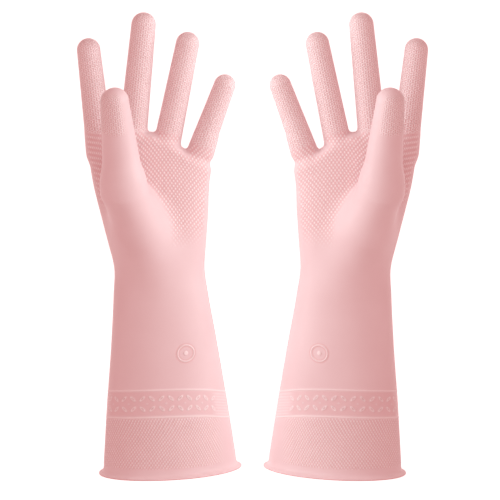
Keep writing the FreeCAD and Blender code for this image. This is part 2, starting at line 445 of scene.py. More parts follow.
def give_wall(piece):
    """Gives the film its thickness, inwards, and keeps its cut edges crisp."""
    outer_count = len(piece.data.vertices)
    wall = piece.modifiers.new("wall", "SOLIDIFY")
    wall.thickness = WALL
    wall.offset = -1
    wall.use_rim = True
    apply(piece, wall)
    vertices, edges, starts, totals = corner_table(piece.data)
    outer_share = np.add.reduceat(vertices < outer_count, starts)
    is_rim = (outer_share > 0) & (outer_share < totals)
    shade_crisp(piece.data, edges[np.repeat(is_rim, totals)])


# %% [markdown]
# ## Rolled grids
# A finger or a sleeve could start as a cylinder. A grid rolled into a tube does more: its
# columns can be packed where the pattern is, and its rows can run on over a round tip.
# Its two side edges then lie on each other and are merged.

# %% Rolled grids
def rolled_grid(name, columns, rows):
    """A grid primitive, with each point's place across and up it from 0 to 1."""
    start()
    bpy.ops.mesh.primitive_grid_add(x_subdivisions=columns, y_subdivisions=rows, size=1)
    piece = bpy.context.object
    piece.name = name
    piece.data.name = name
    flat = get_points(piece) + 0.5
    return piece, flat[:, 0], flat[:, 1]


def close_roll(piece):
    """Joins the rolled grid's two side edges, and its points at a tip."""
    start()
    piece.select_set(True)
    bpy.context.view_layer.objects.active = piece
    bpy.ops.object.mode_set(mode="EDIT")
    bpy.ops.mesh.select_all(action="SELECT")
    bpy.ops.mesh.remove_doubles(threshold=1e-6)
    bpy.ops.mesh.normals_make_consistent(inside=False)
    bpy.ops.object.mode_set(mode="OBJECT")


# %% [markdown]
# ## Grip rings on the fingers
# The palm side of every finger is covered with small raised rings, each with a dimple
# in it, in half-offset rows. They fade out round the sides. The mesh is fine enough
# there for the rings to be real shapes: its columns are packed on the palm's side.

# %% Rings
RING_ACROSS = 3.9 * MM
RING_ROW = 2.95 * MM
RING_RADIUS = 1.15 * MM
RING_WIDTH = 0.36 * MM
RING_HEIGHT = 0.55 * MM
SEAM_RISE = 8.0 * MM        # the fingers' own zones begin above the webs
TUCK = 2.0 * MM             # and slide a little way under the skin of the zone below
TUCK_DEPTH = 0.05 * MM
FINE = 0.42 * MM
COARSE = 1.5 * MM
PAD_HALF = math.radians(78)
PAINTED_SHADE_SHARE = 0.25               # share of a pattern's height below which it is painted in shade, and above which in highlight


def pad_and_side(along):
    """The directions to a finger's pad and to its side, square to its line."""
    pad = np.array((0.0, -1.0, 0.0))
    pad = unit(pad - along * (pad @ along))
    return pad, np.cross(along, pad)


def ring_relief(around, up):
    """Height of the ring pattern at a place on a finger, in metres."""
    row = np.round(up / RING_ROW)
    shift = np.mod(row, 2) * 0.5
    column = np.round(around / RING_ACROSS - shift) + shift
    r = np.hypot(around - column * RING_ACROSS, up - row * RING_ROW)
    return ridge(r - RING_RADIUS, RING_WIDTH, RING_HEIGHT)


def packed_turns(across, fine_share):
    """Angles round a finger, with the fine share of its columns packed on the pad."""
    from_middle = np.abs(across - 0.5) * 2
    turn = np.where(
        from_middle < fine_share,
        from_middle / fine_share * PAD_HALF,
        PAD_HALF + (from_middle - fine_share) / (1 - fine_share) * (math.pi - PAD_HALF),
    )
    return turn * np.sign(across - 0.5)


# %% One finger zone
def finger_zone(name, part, pad_turn, relief_from, relief_to):
    """The base or the tip of a finger, with its rings between two heights on its line."""
    line = TUBES[name]
    low = SEAM_RISE if part == "base" else line["middle"]
    high = line["middle"] if part == "base" else line["end"]
    radius = line["root_radius"] + line["taper"] * (low + high) / 2
    tip_radius = line["root_radius"] + line["taper"] * line["end"]
    fine_columns = int(2 * PAD_HALF * radius / FINE)
    coarse_columns = int((2 * math.pi - 2 * PAD_HALF) * radius / COARSE)
    dome = tip_radius * math.pi / 2 if part == "tip" else 0.0
    rows = int((high - low + dome) / FINE)
    piece, across, up = rolled_grid(f"left_{name}_{part}_film", fine_columns + coarse_columns, rows)
    turn = packed_turns(across, fine_columns / (fine_columns + coarse_columns))
    along = line["along"]
    pad, side = pad_and_side(along)
    pad_angle = turn + pad_turn
    outwards = np.cos(pad_angle)[:, None] * pad - np.sin(pad_angle)[:, None] * side
    # ringed zones tuck in by less, so that the rings below stay in sight
    tuck = TUCK if name == "thumb" else FINE
    travel = up * (high - low + dome) - tuck * (up == 0)
    height = low + np.minimum(travel, high - low)
    over = np.clip((travel - (high - low)) / tip_radius, 0, math.pi / 2)
    rays = outwards * np.cos(over)[:, None] + along * np.sin(over)[:, None]
    centres = line["root"] + height[:, None] * along
    reach = settle_along(centres, rays, np.full(len(centres), radius)) - TUCK_DEPTH * (up == 0)
    skin = centres + rays * reach[:, None]
    arc = turn * (line["root_radius"] + line["taper"] * line["middle"])
    walked = low + travel
    mask = smooth_step(PAD_HALF - np.abs(turn), 0, math.radians(30))
    mask = mask * smooth_step(walked, relief_from, relief_from + 4 * MM)
    mask = mask * smooth_step(relief_to - walked, 0, 5 * MM)
    rings = ring_relief(arc, walked)
    skin = skin + rays * (rings * mask)[:, None]
    set_points(piece, skin)
    # painted highlight on the crests of the rings, painted shade in the troughs between them
    store_painted_highlight_and_shade(piece, (rings / RING_HEIGHT - PAINTED_SHADE_SHARE) * mask)
    close_roll(piece)
    give_wall(piece)
    return piece


# %% All finger and thumb zones
FILM = {}
for name in FINGERS:
    line = TUBES[name]
    reach = line["end"] + line["root_radius"] * 1.2
    for part in ("base", "tip"):
        FILM[f"{name}_{part}"] = finger_zone(name, part, 0.0, -1.0, reach)
THUMB_PAD_TURN = math.radians(38)       # its ringed face is turned outwards, past the palm's side
thumb_reach = TUBES["thumb"]["end"] + 12 * MM
for part in ("base", "tip"):
    FILM[f"thumb_{part}"] = finger_zone(
        "thumb", part, THUMB_PAD_TURN, thumb_reach - 38 * MM, thumb_reach)
for name, piece in FILM.items():
    print(name, "faces:", len(piece.data.polygons))

# %% [markdown]
# ## Palm, back and webs
# The hand has branches, so it can't be one rolled grid. As a sculptor would, rough
# tubes are pushed together and fused by a voxel remesh, and the fused skin is settled
# onto the outer face. Then it is cut by flat planes at the wrist and at every root.

# %% Rough the hand out and fuse it
HAND_VOXEL = 1.6 * MM


def rough_sleeve():
    """A closed sleeve, extruded ring by ring from the cuff to the top of the palm."""
    start()
    heights = [WRIST_Z - 20 * MM, WRIST_Z, WRIST_Z + 25 * MM, WRIST_Z + 55 * MM,
               WRIST_Z + 80 * MM, WEB_TOP - 14 * MM]
    spots = np.array([(0, 0, z) for z in heights])
    centres = along_stations(spots[:, 2], 1) + CUFF_CENTRE
    wide = along_stations(spots[:, 2], 2)
    deep = along_stations(spots[:, 2], 3)
    bpy.ops.mesh.primitive_circle_add(
        vertices=48, radius=1, fill_type="NGON", location=(centres[0], CENTRE_Y, heights[0]))
    sleeve = bpy.context.object
    bpy.ops.object.transform_apply(location=True, rotation=False, scale=False)
    bpy.ops.object.mode_set(mode="EDIT")
    bpy.ops.mesh.select_all(action="SELECT")
    bpy.ops.transform.resize(
        value=(wide[0], deep[0], 1), center_override=(centres[0], CENTRE_Y, heights[0]))
    for i in range(1, len(heights)):
        move = (centres[i] - centres[i - 1], 0, heights[i] - heights[i - 1])
        bpy.ops.mesh.extrude_region_move(TRANSFORM_OT_translate={"value": move})
        bpy.ops.transform.resize(
            value=(wide[i] / wide[i - 1], deep[i] / deep[i - 1], 1),
            center_override=(centres[i], CENTRE_Y, heights[i]))
    bpy.ops.mesh.select_all(action="SELECT")
    bpy.ops.mesh.normals_make_consistent(inside=False)
    bpy.ops.object.mode_set(mode="OBJECT")
    return sleeve


def rough_tube(a, b, radius_a, radius_b):
    """A closed tube between two points, with flat ends."""
    start()
    line = Vector(b - a)
    bpy.ops.mesh.primitive_cone_add(
        vertices=32, radius1=radius_a, radius2=radius_b, depth=line.length,
        location=Vector((a + b) / 2), rotation=line.to_track_quat("Z", "Y").to_euler())
    return bpy.context.object


def rough_ball(centre, radius):
    start()
    bpy.ops.mesh.primitive_uv_sphere_add(segments=32, ring_count=16, radius=radius, location=centre)
    return bpy.context.object


def rough_hand():
    parts = [rough_sleeve()]
    for name, line in TUBES.items():
        low = 0.0 if name == "thumb" else -12 * MM
        a = line["root"] + line["along"] * low
        b = line["root"] + line["along"] * (SEAM_RISE + 8 * MM)
        parts.append(rough_tube(a, b, line["root_radius"], line["root_radius"]))
    for (a, radius_a), (b, radius_b) in zip(BALL, BALL[1:]):
        parts.append(rough_tube(a, b, radius_a, radius_b))
        parts.append(rough_ball(a, radius_a))
    start()
    for part in parts:
        part.select_set(True)
    bpy.context.view_layer.objects.active = parts[0]
    bpy.ops.object.join()
    hand = bpy.context.object
    hand.name = "left_hand_film"
    hand.data.name = "left_hand_film"
    bpy.ops.object.transform_apply(location=True, rotation=True, scale=True)
    # the first settling stretches the webs, so the skin is fused once more after it
    for _ in range(3):
        fuse = hand.modifiers.new("fuse", "REMESH")
        fuse.mode = "VOXEL"
        fuse.voxel_size = HAND_VOXEL
        apply(hand, fuse)
        set_points(hand, settle(get_points(hand)))
    return hand


def cut_away(piece, place, normal):
    """Cuts a piece by a plane and removes what lies on the normal's side of it."""
    start()
    piece.select_set(True)
    bpy.context.view_layer.objects.active = piece
    bpy.ops.object.mode_set(mode="EDIT")
    bpy.ops.mesh.select_all(action="SELECT")
    bpy.ops.mesh.bisect(plane_co=place, plane_no=normal, clear_outer=True)
    bpy.ops.object.mode_set(mode="OBJECT")


def cut_root(piece, line):
    """Cuts a finger's stub off at its root, without touching the other fingers."""
    start()
    piece.select_set(True)
    bpy.context.view_layer.objects.active = piece
    points = get_points(piece) - line["root"]
    up = points @ line["along"]
    off = np.linalg.norm(points - up[:, None] * line["along"], axis=1)
    near = (off < line["root_radius"] * 1.32) & (up > SEAM_RISE - 4 * MM)
    faces = np.zeros(len(piece.data.polygons), bool)
    for face in piece.data.polygons:
        faces[face.index] = all(near[v] for v in face.vertices)
    piece.data.vertices.foreach_set("select", np.zeros(len(points), bool))
    piece.data.edges.foreach_set("select", np.zeros(len(piece.data.edges), bool))
    piece.data.polygons.foreach_set("select", faces)
    bpy.ops.object.mode_set(mode="EDIT")
    bpy.ops.mesh.select_mode(type="FACE")
    seam = line["root"] + line["along"] * SEAM_RISE
    bpy.ops.mesh.bisect(plane_co=seam, plane_no=line["along"], clear_outer=True)
    bpy.ops.object.mode_set(mode="OBJECT")


hand = rough_hand()
cut_away(hand, (0, 0, WRIST_Z), (0, 0, -1))
for line in TUBES.values():
    cut_root(hand, line)
give_wall(hand)
print("hand faces, both walls:", len(hand.data.polygons))

# %% [markdown]
# ## Grains on the palm
# The palm carries a finer pattern: raised, staggered grains, three millimetres wide.
# Only the outer face of the palm is divided finely enough for them. They stop at the
# ball of the thumb, which is smooth, and fade out towards the wrist.

# %% Palm grains
GRAIN_ACROSS = 3.0 * MM
GRAIN_ROW = 2.05 * MM
GRAIN_HEIGHT = 0.38 * MM
GRAIN_LOW = WRIST_Z + 16 * MM
OUTER_FACE = 0.2 * MM       # closer to the outer face than this is not on the inner wall
NEAR_SKIN = 0.25 * MM
ON_SKIN = 0.02 * MM


def palm_mask(points, normals):
    """1 where the grains stand out fully, 0 off the palm."""
    front = smooth_step(-normals[:, 1], 0.45, 0.75)
    clear_of_thumb = smooth_step(thumb_gap(points), 1.5 * MM, 6 * MM)
    low = smooth_step(points[:, 2], GRAIN_LOW, GRAIN_LOW + 26 * MM)
    roots = np.ones(len(points))
    for name in FINGERS:
        line = TUBES[name]
        up = (points - line["root"]) @ line["along"]
        off = np.linalg.norm(points - line["root"] - up[:, None] * line["along"], axis=1)
        on_root = smooth_step(up, -5 * MM, -1.5 * MM) * smooth_step(16 * MM - off, 0, 3 * MM)
        roots = roots * (1 - on_root)
    return front * clear_of_thumb * low * roots


def root_rings(points):
    """The finger rings where they run on down into the roots, and how strong they are."""
    relief = np.zeros(len(points))
    strength = np.zeros(len(points))
    for name in FINGERS:
        line = TUBES[name]
        up = (points - line["root"]) @ line["along"]
        around = points - line["root"] - up[:, None] * line["along"]
        pad, beside = pad_and_side(line["along"])
        turn = np.arctan2(-around @ beside, around @ pad)
        arc = turn * (line["root_radius"] + line["taper"] * line["middle"])
        mask = smooth_step(PAD_HALF - np.abs(turn), 0, math.radians(30))
        mask = mask * smooth_step(up, -4.5 * MM, -1.5 * MM)
        mask = mask * smooth_step(15 * MM - np.linalg.norm(around, axis=1), 0, 2 * MM)
        relief = np.maximum(relief, ring_relief(arc, up) * mask)
        strength = np.maximum(strength, mask)
    return relief, strength


def grain_relief(points):
    x = points[:, 0] - CUFF_CENTRE
    z = points[:, 2] - WRIST_Z
    # the rows sag a little between the thumb and the outer edge of the hand
    row = z + 0.9 * MM * np.sin(x / (17 * MM)) + 10 * x**2
    lens = np.cos(2 * math.pi * x / GRAIN_ACROSS) * np.cos(math.pi * row / GRAIN_ROW)
    return GRAIN_HEIGHT * np.clip(lens, 0, 1) ** 0.8


# %% [markdown]
# ## Finer faces where the pattern is
# The whole hand could be divided finely, but most of it is plain. So only the palm's
# outer faces are subdivided. A subdivided face is still flat, so its new points are
# settled onto the outer face before the pattern is raised on them.

# %% Divide chosen faces and settle them
def divide_faces(piece, chosen, cuts):
    """Divides the chosen faces finely."""
    start()
    piece.select_set(True)
    bpy.context.view_layer.objects.active = piece
    piece.data.vertices.foreach_set("select", np.zeros(len(piece.data.vertices), bool))
    piece.data.edges.foreach_set("select", np.zeros(len(piece.data.edges), bool))
    piece.data.polygons.foreach_set("select", chosen)
    bpy.ops.object.mode_set(mode="EDIT")
    bpy.ops.mesh.select_mode(type="FACE")
    bpy.ops.mesh.subdivide(number_cuts=cuts)
    bpy.ops.object.mode_set(mode="OBJECT")


def face_means(piece, values):
    """The mean of a value at each face's corners."""
    vertices, _, starts, totals = corner_table(piece.data)
    return np.add.reduceat(values[vertices], starts) / totals


def refine(piece, chosen, cuts):
    """Divides faces of the outer face. Returns the settled points, and which may be embossed."""
    old_count = len(piece.data.vertices)
    divide_faces(piece, chosen, cuts)
    points = get_points(piece)
    new = (np.arange(len(points)) >= old_count) & (np.abs(skin_gap(points)) < NEAR_SKIN)
    points[new] = settle(points[new], 3)
    return points, new | (np.abs(skin_gap(points)) < ON_SKIN)


# %% Emboss the palm
def emboss_palm(piece):
    points, normals = get_points(piece), get_normals(piece)
    outer = np.abs(skin_gap(points)) < OUTER_FACE
    on_roots = np.zeros(len(points), bool)
    for name in FINGERS:
        line = TUBES[name]
        on_roots |= (((points - line["root"]) @ line["along"] > -5.5 * MM) & (normals[:, 1] < 0))
    wanted = face_means(piece, ((palm_mask(points, normals) > 0.12) | on_roots) & outer) > 0.99
    points, moved = refine(piece, wanted, 3)
    normals = get_normals(piece)
    rings, strength = root_rings(points)
    grains, mask = grain_relief(points), palm_mask(points, normals)
    points = points + normals * ((grains * mask + rings) * moved)[:, None]
    # painted highlight on the crests of the rings and grains, painted shade in the troughs between them
    ring_highlight_and_shade = rings / RING_HEIGHT - PAINTED_SHADE_SHARE * strength
    store_painted_highlight_and_shade(piece, (ring_highlight_and_shade + (grains / GRAIN_HEIGHT - PAINTED_SHADE_SHARE) * mask) * moved)
    set_points(piece, points)


emboss_palm(hand)
FILM["hand"] = hand
print("hand faces with grains:", len(hand.data.polygons))

# %% [markdown]
# ## Rolled sleeves
# The cuff is made as two sleeves, one above the other. Each could be a cylinder with a
# Solidify modifier, but then the plain inside would be as finely divided as the outside.
# So each is a fine rolled grid with a coarse one inside it, bridged at their ends.

# %% Rolled sleeves
def sleeve_grid(name, low, high, columns, rows, inset=0.0):
    """A sleeve of film between two heights. Returns it with the places of its points."""
    piece, across, up = rolled_grid(name, columns, rows)
    turn = (across - 0.5) * 2 * math.pi
    z = low + up * (high - low) + TUCK * (up == 1)
    wide, deep = along_stations(z, 2), along_stations(z, 3)
    rays = np.stack([np.sin(turn) * wide, -np.cos(turn) * deep, np.zeros(len(z))], axis=1)
    rays /= np.linalg.norm(rays, axis=1, keepdims=True)
    centres = np.stack([CUFF_CENTRE + along_stations(z, 1), np.full(len(z), CENTRE_Y), z], axis=1)
    reach = settle_along(centres, rays, np.hypot(wide, deep) * 0.8, 18)
    reach -= np.where(up == 1, max(inset, TUCK_DEPTH), inset)
    skin = centres + rays * reach[:, None]
    rolled = skin.reshape(rows + 1, columns + 1, 3)
    steps = np.linalg.norm(np.diff(rolled, axis=1), axis=2)
    walked = np.concatenate([np.zeros((rows + 1, 1)), np.cumsum(steps, axis=1)], axis=1)
    round_way = (walked - walked[:, columns // 2][:, None]).ravel()
    return piece, skin, rays, turn, round_way


def line_in(piece, inner):
    """Joins an inner wall to a sleeve and bridges their two ends."""
    close_roll(inner)
    inner.data.flip_normals()
    start()
    inner.select_set(True)
    piece.select_set(True)
    bpy.context.view_layer.objects.active = piece
    bpy.ops.object.join()
    spots = get_points(piece)
    for end in (spots[:, 2].min(), spots[:, 2].max()):
        bpy.ops.object.mode_set(mode="EDIT")
        bpy.ops.mesh.select_mode(type="EDGE")
        bpy.ops.mesh.select_all(action="DESELECT")
        bpy.ops.object.mode_set(mode="OBJECT")
        ends = np.abs(get_points(piece)[:, 2] - end) < 1e-5
        pairs = np.empty(len(piece.data.edges) * 2, int)
        piece.data.edges.foreach_get("vertices", pairs)
        rim = ends[pairs.reshape(-1, 2)].all(axis=1)
        piece.data.edges.foreach_set("select", rim)
        bpy.ops.object.mode_set(mode="EDIT")
        bpy.ops.mesh.bridge_edge_loops()
        bpy.ops.mesh.select_mode(type="FACE")
        bpy.ops.object.mode_set(mode="OBJECT")
    normals = np.empty(len(piece.data.polygons) * 3)
    piece.data.polygons.foreach_get("normal", normals)
    is_end = np.abs(normals.reshape(-1, 3)[:, 2]) > 0.9
    _, edges, _, totals = corner_table(piece.data)
    shade_crisp(piece.data, edges[np.repeat(is_end, totals)])


# %% [markdown]
# ## Cuff: band and pebbled panel
# The lower cuff carries two fine lines with a row of small leaves between them, and
# under them a panel of pebbles that helps to grip the cuff when the glove is pulled on.
# They are raised out of the sleeve's own points, because on the real glove they are
# part of the film, and each is a rule of the place round the cuff and up it.

# %% Band and panel
BAND_TOP = 64.5 * MM        # heights of the two fine lines at the glove's sides
BAND_LOW = 43.5 * MM
BAND_BOW = 7.5 * MM         # how much higher they stand in front
LINE_WIDTH = 0.42 * MM
LINE_HEIGHT = 0.42 * MM
LEAF_PITCH = 7.7 * MM
LEAF_LENGTH = 2.5 * MM      # half a leaf's length
LEAF_WIDTH = 0.95 * MM
LEAF_HEIGHT = 0.55 * MM
LEAF_TILT = math.radians(48)
PEBBLE_ACROSS = 2.5 * MM
PEBBLE_ROW = 1.75 * MM
PEBBLE_HEIGHT = 0.60 * MM
PANEL_TOP = 80 * MM


def leaf_relief(around, up):
    """Two rows of slanting leaves. Four of them point at each small diamond."""
    column = np.round(around / LEAF_PITCH - 0.5) + 0.5
    u = around - column * LEAF_PITCH
    row = np.where(up > 0, 1.0, -1.0)
    v = up - row * LEAF_PITCH * 0.53
    odd = np.mod(column - 0.5, 2) * 2 - 1
    tilt = LEAF_TILT * odd * row
    along = u * np.sin(tilt) + v * np.cos(tilt)
    off = u * np.cos(tilt) - v * np.sin(tilt)
    r = np.sqrt((along / LEAF_LENGTH) ** 2 + (off / LEAF_WIDTH) ** 2)
    # each leaf is a raised outline round a low middle
    leaf = ridge(r - 0.85, 0.24, LEAF_HEIGHT)
    middle = np.round(around / (2 * LEAF_PITCH)) * 2 * LEAF_PITCH
    diamond = np.abs(around - middle) / (1.3 * MM) + np.abs(up) / (0.9 * MM)
    return leaf + 0.2 * MM * np.clip(1.2 - diamond, 0, 1)


def pebble_relief(around, up):
    """Staggered pebbles in rows that swirl a little, as on the former."""
    row = up + 1.6 * MM * np.sin(around / (15 * MM)) + 0.5 * MM * np.sin(around / (5.2 * MM))
    place = around + 1.1 * MM * np.sin(up / (7 * MM))
    lens = np.cos(2 * math.pi * place / PEBBLE_ACROSS) * np.cos(math.pi * row / PEBBLE_ROW)
    return PEBBLE_HEIGHT * np.clip(lens + 0.12, 0, 1) ** 0.75


def cuff_relief(turn, around, z):
    bow = BAND_BOW * np.cos(turn)
    top, low = BAND_TOP + bow, BAND_LOW + bow * 0.9
    relief = ridge(z - top, LINE_WIDTH, LINE_HEIGHT) + ridge(z - low, LINE_WIDTH, LINE_HEIGHT)
    in_band = smooth_step(z, low + MM, low + 2 * MM) * smooth_step(top - z, MM, 2 * MM)
    # the leaves fade out towards the sides, where fine level lines take over
    front = smooth_step(np.abs(np.cos(turn)), 0.35, 0.6)
    relief += leaf_relief(around, z - (top + low) / 2) * in_band * front
    fine = 0.07 * MM * (1 + np.cos(2 * math.pi * (z - low) / (2.3 * MM)))
    relief += fine * in_band * (1 - front)
    in_panel = smooth_step(low - z, 0.6 * MM, 2.2 * MM) * smooth_step(z, RIM_TOP, RIM_TOP + MM)
    sides = smooth_step(np.abs(np.cos(turn)), 0.22, 0.62)
    pattern = np.maximum(in_band * front * 0.5, in_panel * sides)
    relief = relief + pebble_relief(around, z) * in_panel * sides
    # the second value is painted highlight on the raised lines, leaves and pebbles, and painted shade in
    # the troughs between them
    return relief, relief / PEBBLE_HEIGHT - PAINTED_SHADE_SHARE * pattern


# %% Lower cuff
PANEL_COLUMNS = 560
PANEL_ROWS = int((PANEL_TOP - RIM_TOP) / (0.55 * MM))
INNER_COLUMNS = 90


def lower_cuff():
    piece, skin, rays, turn, around = sleeve_grid(
        "left_cuff_panel_film", RIM_TOP, PANEL_TOP, PANEL_COLUMNS, PANEL_ROWS)
    relief, painted_highlight_and_shade = cuff_relief(turn, around, skin[:, 2])
    set_points(piece, skin + rays * relief[:, None])
    store_painted_highlight_and_shade(piece, painted_highlight_and_shade)
    close_roll(piece)
    inner, inside, *_ = sleeve_grid("inner", RIM_TOP, PANEL_TOP, INNER_COLUMNS, 24, WALL)
    set_points(inner, inside)
    line_in(piece, inner)
    return piece


FILM["cuff_panel"] = lower_cuff()
print("lower cuff faces:", len(FILM["cuff_panel"].data.polygons))

# %% [markdown]
# ## Upper cuff and size mark
# The upper sleeve is plain, with a small ring that tells the size on the real glove.
# It is filled here with a plain dot instead of a number. The faces round it are divided
# as the palm's are, and the ring and the dot are raised along their normals.

# %% Upper cuff
MARK_ASIDE = 12.6 * MM     # the ring's place beside the cuff's middle line
MARK_Z = 100.5 * MM
MARK_RADIUS = 6.5 * MM
MARK_LINE = 0.45 * MM
# how far beside the ring's line the painted shade runs
RING_SHADE_ASIDE = 1.1 * MM
MARK_HEIGHT = 0.5 * MM
DOT_RADIUS = 2.0 * MM


def from_mark(points):
    """Distance from the ring's centre. The sleeve's back counts as far away."""
    x = points[:, 0] - CUFF_CENTRE - MARK_ASIDE
    return np.hypot(x, points[:, 2] - MARK_Z) + (points[:, 1] > CENTRE_Y) * 1.0


def upper_cuff():
    piece, skin, *_ = sleeve_grid("left_gauntlet_film", PANEL_TOP, WRIST_Z, 280, 60)
    set_points(piece, skin)
    close_roll(piece)
    inner, inside, *_ = sleeve_grid("inner", PANEL_TOP, WRIST_Z, INNER_COLUMNS, 30, WALL)
    set_points(inner, inside)
    line_in(piece, inner)
    points = get_points(piece)
    outer = np.abs(skin_gap(points)) < OUTER_FACE
    near = (from_mark(points) < MARK_RADIUS * 1.5) & outer
    points, moved = refine(piece, face_means(piece, near) > 0.99, 4)
    r = from_mark(points)
    mark = ridge(r - MARK_RADIUS, MARK_LINE, 1.0) + smooth_step(DOT_RADIUS - r, 0, 0.7 * MM)
    # painted shade along both sides of the ring
    beside = ridge(np.abs(r - MARK_RADIUS) - RING_SHADE_ASIDE, 0.5 * MM, 0.25)
    points = points + get_normals(piece) * (mark * moved * MARK_HEIGHT)[:, None]
    set_points(piece, points)
    # painted highlight on the raised ring and dot, painted shade beside the ring
    store_painted_highlight_and_shade(piece, (0.5 * mark - beside) * moved)
    return piece


FILM["gauntlet"] = upper_cuff()
print("upper cuff faces:", len(FILM["gauntlet"].data.polygons))

# %% [markdown]
# ## Lip
# The film is thicker where it is trimmed, and flares out into a rounded lip. The lip's
# outline is drawn once, beside the film, and carried round the oval.

# %% Lip
LIP_HEIGHT = 8.0         # how high the outline is drawn, in mm, from the trimmed edge up
# out from the film and up, in mm: down the outer face, round the lip, and up the inner face
LIP_OUTLINE = [
    (0.0, 8.0), (0.0, 7.0), (0.05, 5.4), (0.3, 4.0), (0.9, 2.9), (1.9, 2.1), (3.0, 1.6), (3.7, 1.2),
    (3.75, 0.5), (3.3, 0.0), (2.6, 0.0), (2.0, 0.6), (1.2, 1.3), (0.3, 2.4), (-0.3, 3.8),
    (-0.5, 5.2), (-0.5, 7.0), (-0.5, 8.0),
]


def rounded(outline, rounds=2):
    """Cuts an outline's corners until it is smooth, and keeps its two ends."""
    outline = np.array(outline)
    for _ in range(rounds):
        quarter = outline[:-1] * 0.75 + outline[1:] * 0.25
        three = outline[:-1] * 0.25 + outline[1:] * 0.75
        inside = np.stack([quarter, three], axis=1).reshape(-1, 2)
        outline = np.concatenate([outline[:1], inside[1:-1], outline[-1:]])
    return outline


def lip():
    outline = rounded(LIP_OUTLINE) * MM
    outline = np.concatenate([outline, outline[:1]])
    columns, rows = 240, len(outline) - 1
    piece, across, up = rolled_grid("left_cuff_rim_film", columns, rows)
    turn = (across - 0.5) * 2 * math.pi
    step = np.rint(up * rows).astype(int)
    out, z = outline[step, 0], outline[step, 1] * RIM_TOP / (LIP_HEIGHT * MM)
    level = np.full(len(z), RIM_TOP)
    wide, deep = along_stations(level, 2), along_stations(level, 3)
    rays = np.stack([np.sin(turn) * wide, -np.cos(turn) * deep, np.zeros(len(z))], axis=1)
    rays /= np.linalg.norm(rays, axis=1, keepdims=True)
    centres = np.stack([CUFF_CENTRE + along_stations(z, 1), np.full(len(z), CENTRE_Y), z], axis=1)
    reach = settle_along(centres, rays, np.hypot(wide, deep) * 0.8, 18)
    skin = centres + rays * (reach + out)[:, None]
    set_points(piece, skin)
    # painted shade on the underside of the lip
    store_painted_highlight_and_shade(piece, -0.5 * smooth_step(0.9 * MM - z, 0, 0.5 * MM) * (out > 2 * MM))
    close_roll(piece)
    start()
    piece.select_set(True)
    bpy.context.view_layer.objects.active = piece
    bpy.ops.object.shade_smooth_by_angle(angle=math.radians(50))
    return piece


FILM["cuff_rim"] = lip()
print("lip faces:", len(FILM["cuff_rim"].data.polygons))

# %% [markdown]
# ## Natural rubber latex, dipped and washed
# Dipped latex is opaque but not quite: light sinks a little way into it, so its shadows
# turn a warmer, deeper pink instead of grey. The surface is satin, because the film is
# washed and chlorinated, with a faint unevenness where the latex ran.

# %% Material
def colour(text):
    """An sRGB hex colour as linear values."""
    parts = [int(text[i:i + 2], 16) / 255 for i in (1, 3, 5)]
    linear = [c / 12.92 if c <= 0.04045 else ((c + 0.055) / 1.055) ** 2.4 for c in parts]
    return (*linear, 1.0)


def add_node(tree, kind, settings=(), links=()):
    """Adds a node, sets its properties and inputs, and links its inputs."""
    node = tree.nodes.new(kind)
    for key, value in dict(settings).items():
        if isinstance(key, str) and hasattr(node, key):
            setattr(node, key, value)
        else:
            node.inputs[key].default_value = value
    for key, socket in dict(links).items():
        tree.links.new(socket, node.inputs[key])
    return node


STREAKS = 22.0              # per metre: one for each 45 mm, where the latex ran
SATIN_GRIT = 1400.0         # per metre: one for each 0.7 mm, drawn coarser than it is, to show


def dipped_latex():
    """Washed natural latex: its satin face gives a broad, soft shine and no sharp one."""
    material = bpy.data.materials.new("natural_latex_dipped_satin")
    material.use_nodes = True
    tree = material.node_tree
    tree.nodes.clear()
    place = add_node(tree, "ShaderNodeTexCoord")
    runs = add_node(
        tree, "ShaderNodeTexNoise",
        {"Scale": STREAKS, "Detail": 3.0, "Roughness": 0.5}, {"Vector": place.outputs["Object"]})
    tint = add_node(tree, "ShaderNodeValToRGB", (), {"Fac": runs.outputs["Fac"]})
    tint.color_ramp.elements[0].position = 0.3
    tint.color_ramp.elements[0].color = colour("#ECD0D2")
    tint.color_ramp.elements[1].position = 0.7
    tint.color_ramp.elements[1].color = colour("#F0D7D9")
    painted_highlight_and_shade = add_node(tree, "ShaderNodeAttribute", {"attribute_name": "painted_highlight_and_shade"})
    # painted highlight on the crests of the pattern, and painted shade in its troughs, beside the size
    # ring and under the lip
    highlight_amount = add_node(
        tree, "ShaderNodeMath",
        {"operation": "MULTIPLY", "use_clamp": True, 1: 1.5}, {0: painted_highlight_and_shade.outputs["Fac"]})
    shade_amount = add_node(
        tree, "ShaderNodeMath",
        {"operation": "MULTIPLY", "use_clamp": True, 1: -2.4}, {0: painted_highlight_and_shade.outputs["Fac"]})
    # the painted shade's colour
    painted_shade_mix = add_node(
        tree, "ShaderNodeMix", {"data_type": "RGBA", 7: colour("#E6B7B8")},
        {0: shade_amount.outputs[0], 6: tint.outputs["Color"]})
    # the painted highlight's colour
    painted_highlight_mix = add_node(
        tree, "ShaderNodeMix", {"data_type": "RGBA", 7: colour("#FFF1F1")},
        {0: highlight_amount.outputs[0], 6: painted_shade_mix.outputs[2]})
    grain = add_node(
        tree, "ShaderNodeTexNoise",
        {"Scale": SATIN_GRIT, "Detail": 2.0, "Roughness": 0.6}, {"Vector": place.outputs["Object"]})
    bump = add_node(
        tree, "ShaderNodeBump", {"Strength": 0.12, "Distance": 0.0002}, {"Height": grain.outputs["Fac"]})
    skin = add_node(
        tree, "ShaderNodeBsdfPrincipled",
        {"Roughness": 0.48, "IOR": 1.52, "Specular IOR Level": 0.4},
        {"Base Color": painted_highlight_mix.outputs[2], "Normal": bump.outputs["Normal"]})
    add_node(tree, "ShaderNodeOutputMaterial", (), {"Surface": skin.outputs["BSDF"]})
    return material


LATEX = dipped_latex()
print("material:", LATEX.name, "nodes:", len(LATEX.node_tree.nodes))

